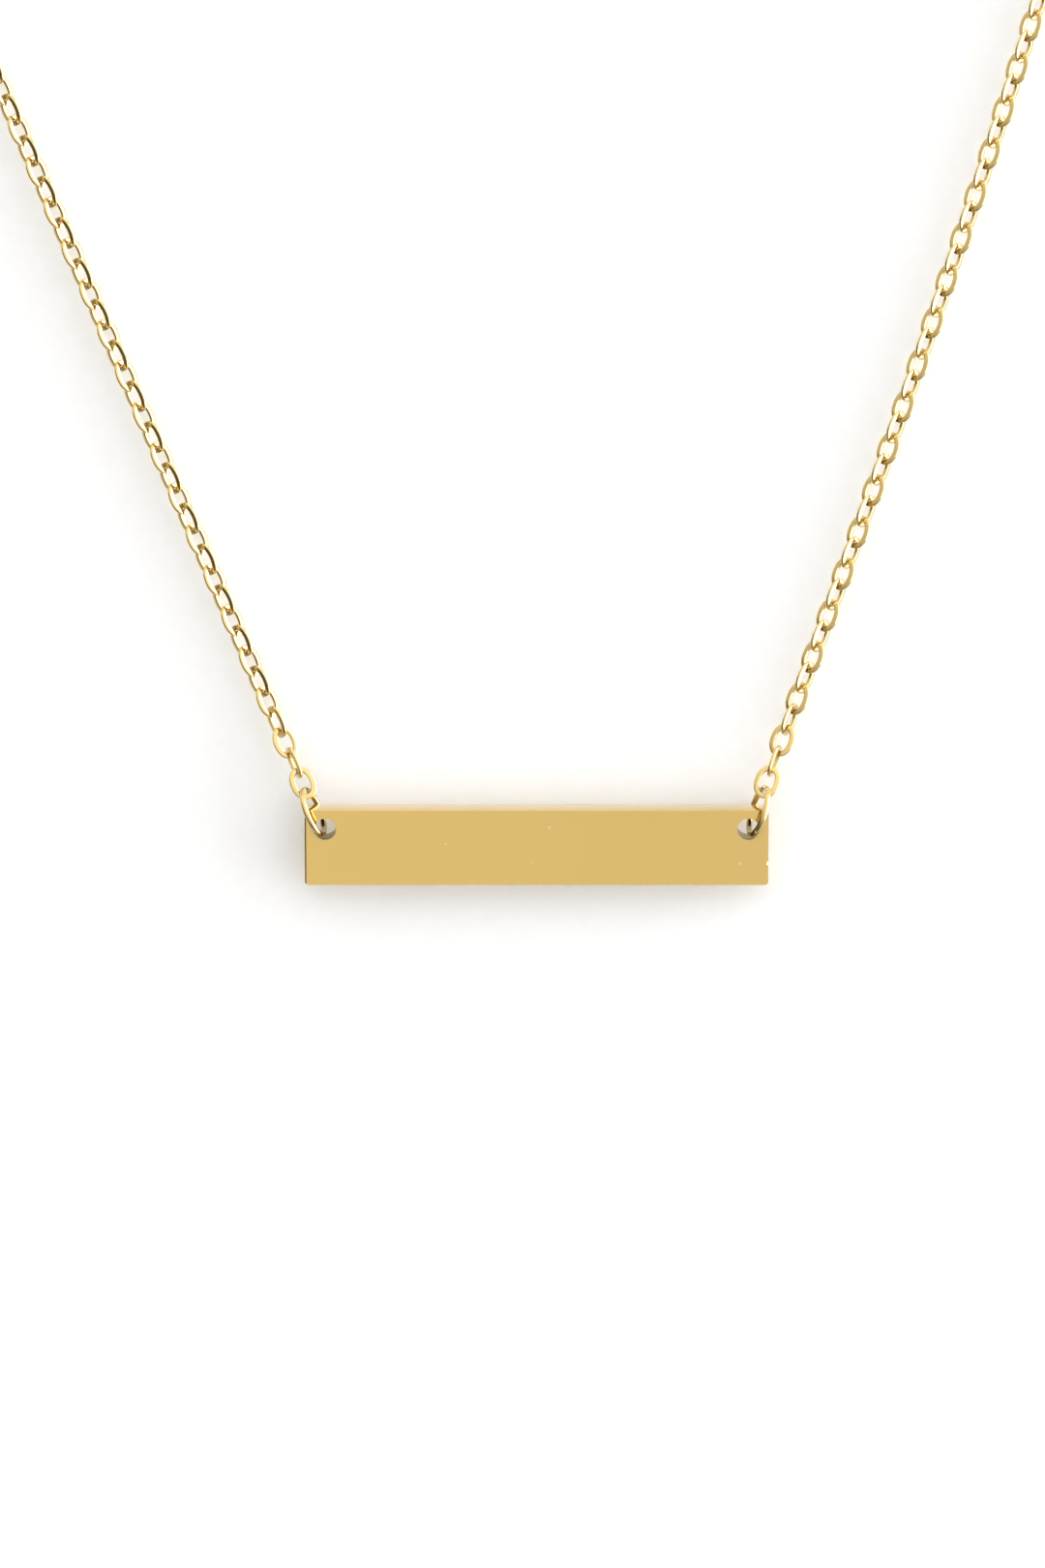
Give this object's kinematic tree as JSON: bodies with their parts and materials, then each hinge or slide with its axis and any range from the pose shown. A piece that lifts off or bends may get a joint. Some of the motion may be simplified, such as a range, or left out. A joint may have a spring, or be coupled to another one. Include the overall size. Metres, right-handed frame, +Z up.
{
  "type": "bar pendant necklace",
  "caption": "Polished gold rectangular bar pendant, held at both ends by jump rings on a fine cable chain that closes with a hook clasp, lying flat.",
  "frame": {"origin": "on the surface that the necklace lies on, in the middle of the ground that it covers", "axes": "+Z up from the surface, +X along the bar, +Y from the bar towards the clasp"},
  "size_m": [0.1154, 0.177, 0.0043],
  "materials": {
    "gold": "polished gold plating on stainless steel"
  },
  "bodies": {
    "root": {"bar": "gold", "jump_ring_left": "gold", "jump_ring_right": "gold", "chain_left": "gold", "chain_right": "gold", "clasp": "gold", "clasp_ring": "gold"}
  },
  "joints": []
}
